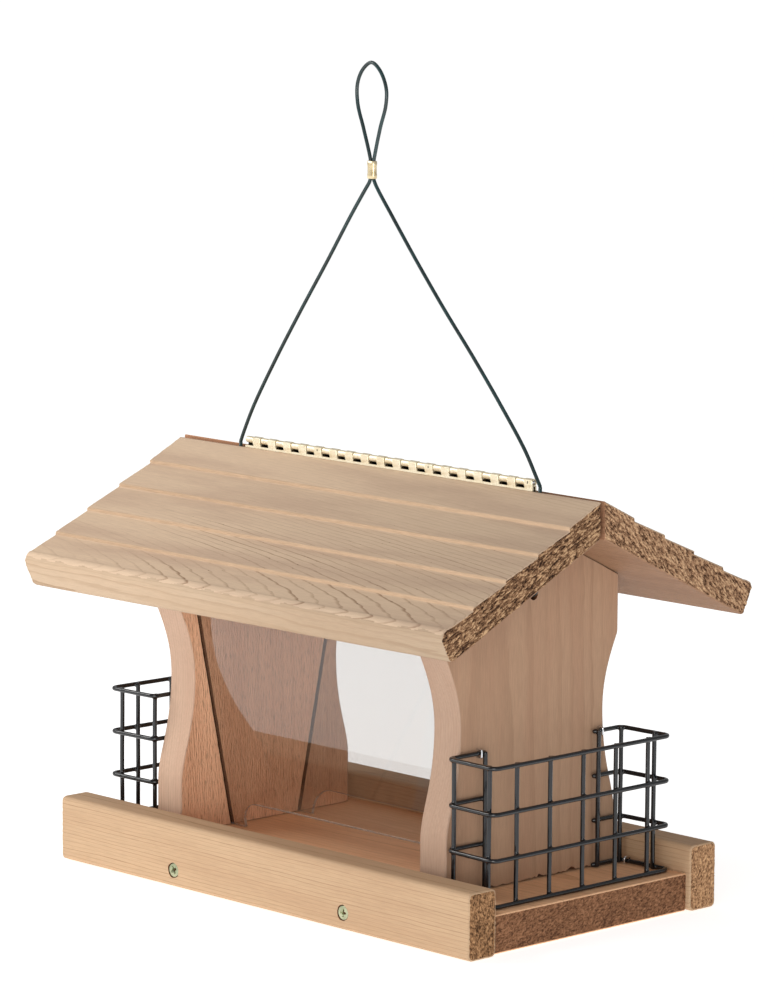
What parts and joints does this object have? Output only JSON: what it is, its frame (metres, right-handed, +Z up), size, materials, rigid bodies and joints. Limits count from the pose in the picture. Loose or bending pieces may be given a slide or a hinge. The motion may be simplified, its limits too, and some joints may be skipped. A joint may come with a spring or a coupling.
{
  "type": "hanging bird feeder",
  "caption": "House-shaped cedar hopper feeder with clear leaning windows, a hinged lid, wire suet cages on both ends and a cable hanger.",
  "frame": {"origin": "on the ground at the middle of the feeder's underside", "axes": "+X along the ridge, front (fixed roof half) at -Y, rear (lid) at +Y, +Z up"},
  "size_m": [0.3497, 0.247, 0.4764],
  "materials": {
    "cedar_roof": "bare sanded cedar",
    "cedar_panel": "bare sanded cedar",
    "cedar_rail": "bare sanded cedar",
    "cedar_floor": "bare sanded cedar",
    "clear_sheet": "clear, polished",
    "hinge_brass": "pale brass plate",
    "ferrule_brass": "crimped",
    "black_wire": "black vinyl-coated steel wire",
    "green_cable": "dark green vinyl-coated steel cable",
    "zinc_screw": "yellow-green zinc plate",
    "bright_steel": "bright"
  },
  "bodies": {
    "house": {"floor_board": "cedar_floor", "front_rail": "cedar_rail", "rear_rail": "cedar_rail", "left_side_panel": "cedar_panel", "right_side_panel": "cedar_panel", "roof_front_panel": "cedar_roof", "hinge_leaf_front": "hinge_brass", "hinge_pin": "hinge_brass", "hinge_screw_front_1": "hinge_brass", "hinge_screw_front_2": "hinge_brass", "hinge_screw_front_3": "hinge_brass", "suet_cage_left": "black_wire", "suet_cage_right": "black_wire", "cage_staple_left_front_top": "bright_steel", "cage_staple_left_front_bottom": "bright_steel", "cage_staple_left_rear_top": "bright_steel", "cage_staple_left_rear_bottom": "bright_steel", "cage_staple_right_front_top": "bright_steel", "cage_staple_right_front_bottom": "bright_steel", "cage_staple_right_rear_top": "bright_steel", "cage_staple_right_rear_bottom": "bright_steel", "front_rail_screw_left": "zinc_screw", "front_rail_screw_right": "zinc_screw", "rear_rail_screw_left": "zinc_screw", "rear_rail_screw_right": "zinc_screw", "panel_screw_left_front": "zinc_screw", "panel_screw_left_rear": "zinc_screw", "panel_screw_right_front": "zinc_screw", "panel_screw_right_rear": "zinc_screw", "roof_screw_left": "zinc_screw", "roof_screw_right": "zinc_screw", "cable_tail_left": "green_cable", "cable_tail_right": "green_cable", "cable_stop_left": "bright_steel", "cable_stop_right": "bright_steel"},
    "lid": {"roof_rear_panel": "cedar_roof", "hinge_leaf_rear": "hinge_brass", "hinge_screw_rear_1": "hinge_brass", "hinge_screw_rear_2": "hinge_brass", "hinge_screw_rear_3": "hinge_brass"},
    "hanger": {"hanger_cable": "green_cable", "cable_ferrule": "ferrule_brass"},
    "front_window_sheet": {"front_window": "clear_sheet"},
    "rear_window_sheet": {"rear_window": "clear_sheet"}
  },
  "joints": [
    {"name": "lid_hinge", "type": "hinge", "parent": "house", "child": "lid", "pos_m": [0, 0, 0.2482], "axis": [1, 0, 0], "range_deg": [0, 105]},
    {"name": "hanger_fold", "type": "hinge", "parent": "house", "child": "hanger", "pos_m": [0, 0, 0.2458], "axis": [1, 0, 0], "range_deg": [-8, 112]},
    {"name": "front_window_lift", "type": "slide", "parent": "house", "child": "front_window_sheet", "axis": [0, -0.2045, 0.9789], "range_m": [0, 0.004]},
    {"name": "rear_window_lift", "type": "slide", "parent": "house", "child": "rear_window_sheet", "axis": [0, 0.2045, 0.9789], "range_m": [0, 0.004]}
  ]
}
